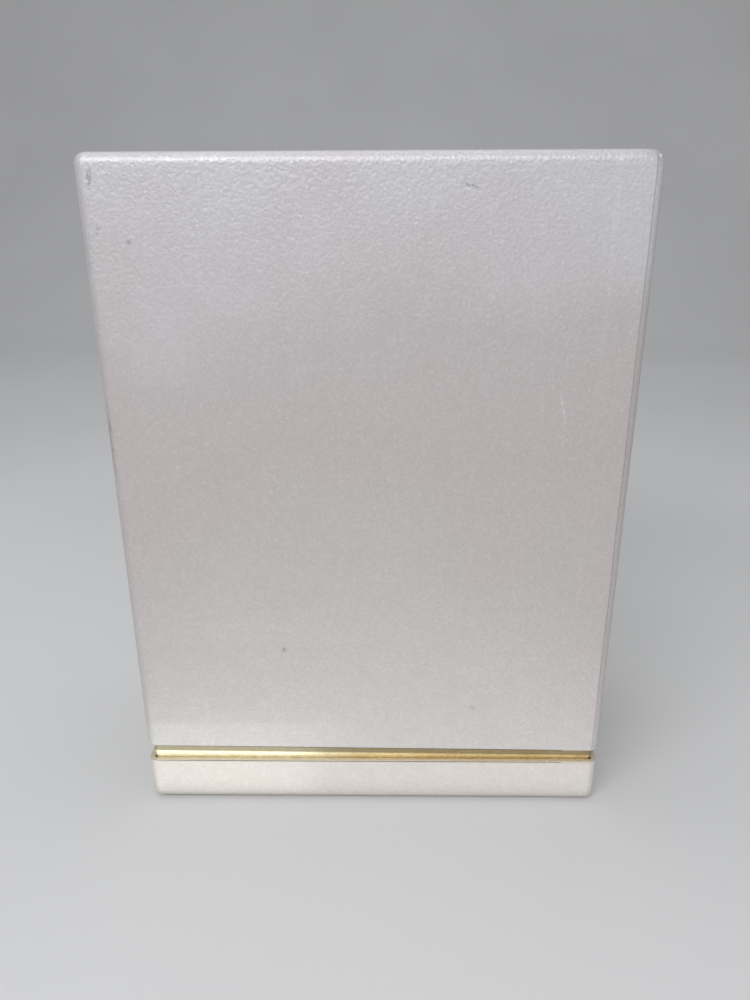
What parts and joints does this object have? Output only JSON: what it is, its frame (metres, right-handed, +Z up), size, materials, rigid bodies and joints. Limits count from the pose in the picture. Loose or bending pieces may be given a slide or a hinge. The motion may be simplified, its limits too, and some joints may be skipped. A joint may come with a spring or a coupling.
{
  "type": "boxed rosin cake",
  "caption": "Round bow-rosin cake in a cup, standing in a foam insert inside a tall pearl-paper neck box with a gold reveal and a deep lift-off lid.",
  "frame": {"origin": "centre of the box's underside", "axes": "+Z up through the lid's top, front face toward -Y, +X to the right seen from the front"},
  "size_m": [0.078, 0.042, 0.105],
  "materials": {
    "pearl_paper": "embossed pearl",
    "grey_board": "raw",
    "kraft_tape": "gummed",
    "lining_paper": "matte",
    "bottom_paper": "matte",
    "gold_foil": "foil",
    "foam": "open-cell",
    "flocked_card": "flocked",
    "cup_metal": "anodised",
    "felt": "felt",
    "rosin": "cast"
  },
  "bodies": {
    "base": {"base_board": "grey_board", "base_corner_tapes": "kraft_tape", "base_wrap": "pearl_paper", "base_bottom_sheet": "bottom_paper", "base_floor_lining": "lining_paper", "neck_board": "grey_board", "neck_joint_tape": "kraft_tape", "neck_foil_wrap": "gold_foil", "insert_front_layer": "foam", "insert_cradle_layer": "foam", "insert_rear_layer": "foam", "insert_cover": "flocked_card"},
    "lid": {"lid_board": "grey_board", "lid_corner_tapes": "kraft_tape", "lid_wrap": "pearl_paper", "lid_lining": "lining_paper"},
    "cake": {"cake_cup": "cup_metal", "cup_back_pad": "felt", "rosin_cake": "rosin"}
  },
  "joints": [
    {"name": "lid_lift", "type": "slide", "parent": "base", "child": "lid", "axis": [0, 0, 1], "range_m": [-0.00205, 0.08]},
    {"name": "cake_lift", "type": "slide", "parent": "base", "child": "cake", "axis": [0, 0, 1], "range_m": [0, 0.025]}
  ]
}
